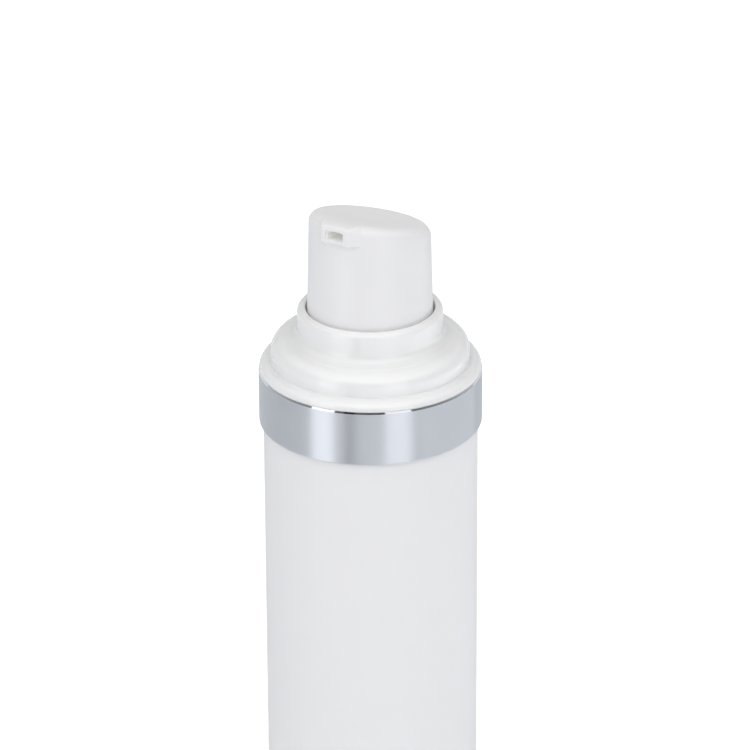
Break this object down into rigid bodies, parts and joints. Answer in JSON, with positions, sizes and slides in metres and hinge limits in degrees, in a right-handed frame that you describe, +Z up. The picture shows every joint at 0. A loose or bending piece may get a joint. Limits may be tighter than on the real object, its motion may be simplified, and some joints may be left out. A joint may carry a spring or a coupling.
{
  "type": "airless pump bottle",
  "caption": "Cylindrical cosmetic bottle with a press button and side nozzle, a stepped shoulder, a bright trim ring, and a pump fed by a rising follower piston.",
  "frame": {"origin": "centre of the foot on the surface that the bottle stands on", "axes": "+Z up along the bottle's axis, the nozzle points to -Y, X is across it"},
  "size_m": [0.037, 0.037, 0.1204],
  "materials": {
    "barrel": "fine satin moulded polypropylene, white",
    "seal": "soft moulded polyethylene, natural white",
    "engine": "moulded polypropylene, white",
    "steel_ball": "polished stainless steel",
    "spring_steel": "drawn stainless steel wire",
    "button": "satin moulded polypropylene, white",
    "collar": "glossy moulded polypropylene, white",
    "trim": "bright anodised aluminium, silver"
  },
  "bodies": {
    "bottle": {"bottle_barrel": "barrel", "base_plug": "barrel", "neck_gasket": "seal", "pump_chamber": "engine", "ball_cage": "engine", "closure_ring": "engine", "stem_guide": "engine", "return_spring": "spring_steel", "shoulder_collar": "collar", "trim_ring": "trim"},
    "plunger": {"stem": "engine", "stem_tip": "engine"},
    "piston_seal": {"pump_piston": "seal"},
    "head": {"actuator": "button"},
    "inlet_valve": {"inlet_ball": "steel_ball"},
    "follower": {"follower_piston": "seal"}
  },
  "joints": [
    {"name": "press", "type": "slide", "parent": "bottle", "child": "plunger", "axis": [0, 0, -1], "range_m": [0, 0.005], "stiffness_N_per_m": 650, "springref_m": -0.0015, "deforming": ["return_spring"]},
    {"name": "head_turn", "type": "hinge", "parent": "plunger", "child": "head", "pos_m": [0, 0, 0.11], "axis": [0, 0, 1], "continuous": true},
    {"name": "piston_lag", "type": "slide", "parent": "plunger", "child": "piston_seal", "axis": [0, 0, 1], "range_m": [0, 0.0008]},
    {"name": "ball_lift", "type": "slide", "parent": "bottle", "child": "inlet_valve", "axis": [0, 0, 1], "range_m": [0, 0.001]},
    {"name": "follower_rise", "type": "slide", "parent": "bottle", "child": "follower", "axis": [0, 0, 1], "range_m": [0, 0.062]}
  ]
}
